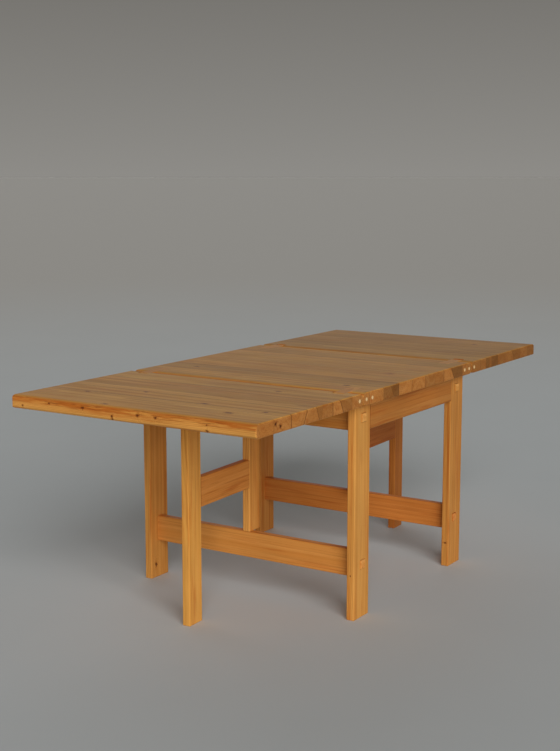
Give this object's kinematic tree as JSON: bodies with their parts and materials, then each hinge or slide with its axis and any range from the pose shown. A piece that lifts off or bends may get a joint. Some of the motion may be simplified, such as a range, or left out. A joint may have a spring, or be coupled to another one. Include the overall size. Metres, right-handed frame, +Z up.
{
  "type": "gateleg table",
  "caption": "Solid pine gateleg dining table with a fixed centre panel, a hinged leaf at each end and a swinging gate under each leaf.",
  "frame": {"origin": "on the floor, under the middle of the table top", "axes": "+X along the table's long axis, +Y to the rear, +Z up"},
  "size_m": [1.968, 0.894, 0.73],
  "materials": {
    "pine": "clear lacquered pine planks, honey orange",
    "pine_panel": "clear lacquered pine, edge glued from staves",
    "brass": "polished brass rod",
    "beech": "plain beech dowel",
    "steel": "zinc plated steel"
  },
  "bodies": {
    "frame": {"leg_front_left": "pine", "leg_front_right": "pine", "leg_rear_left": "pine", "leg_rear_right": "pine", "apron_front": "pine", "apron_rear": "pine", "apron_left": "pine", "apron_right": "pine", "stretcher_left": "pine", "stretcher_right": "pine", "centre_panel": "pine_panel", "hinge_arm_front_left": "pine", "hinge_arm_front_right": "pine", "hinge_arm_rear_left": "pine", "hinge_arm_rear_right": "pine", "fixed_pins": "brass", "top_screws": "steel"},
    "leaf_left": {"leaf_left": "pine_panel", "pivot_pins_left": "brass"},
    "leaf_right": {"leaf_right": "pine_panel", "pivot_pins_right": "brass"},
    "gate_left": {"gate_post_left": "pine", "gate_leg_left": "pine", "gate_rail_left": "pine", "gate_dowels_left": "beech"},
    "gate_right": {"gate_post_right": "pine", "gate_leg_right": "pine", "gate_rail_right": "pine", "gate_dowels_right": "beech"}
  },
  "joints": [
    {"name": "leaf_left_lift", "type": "hinge", "parent": "frame", "child": "leaf_left", "pos_m": [-0.418, 0, 0.709], "axis": [0, 1, 0], "range_deg": [0, 90]},
    {"name": "leaf_right_lift", "type": "hinge", "parent": "frame", "child": "leaf_right", "pos_m": [0.418, 0, 0.709], "axis": [0, -1, 0], "range_deg": [0, 90]},
    {"name": "gate_left_fold", "type": "hinge", "parent": "frame", "child": "gate_left", "pos_m": [-0.338, 0.018, 0.4], "axis": [0, 0, 1], "range_deg": [-2.4, 82.1]},
    {"name": "gate_right_fold", "type": "hinge", "parent": "frame", "child": "gate_right", "pos_m": [0.338, -0.018, 0.4], "axis": [0, 0, 1], "range_deg": [-2.4, 82.1]}
  ]
}
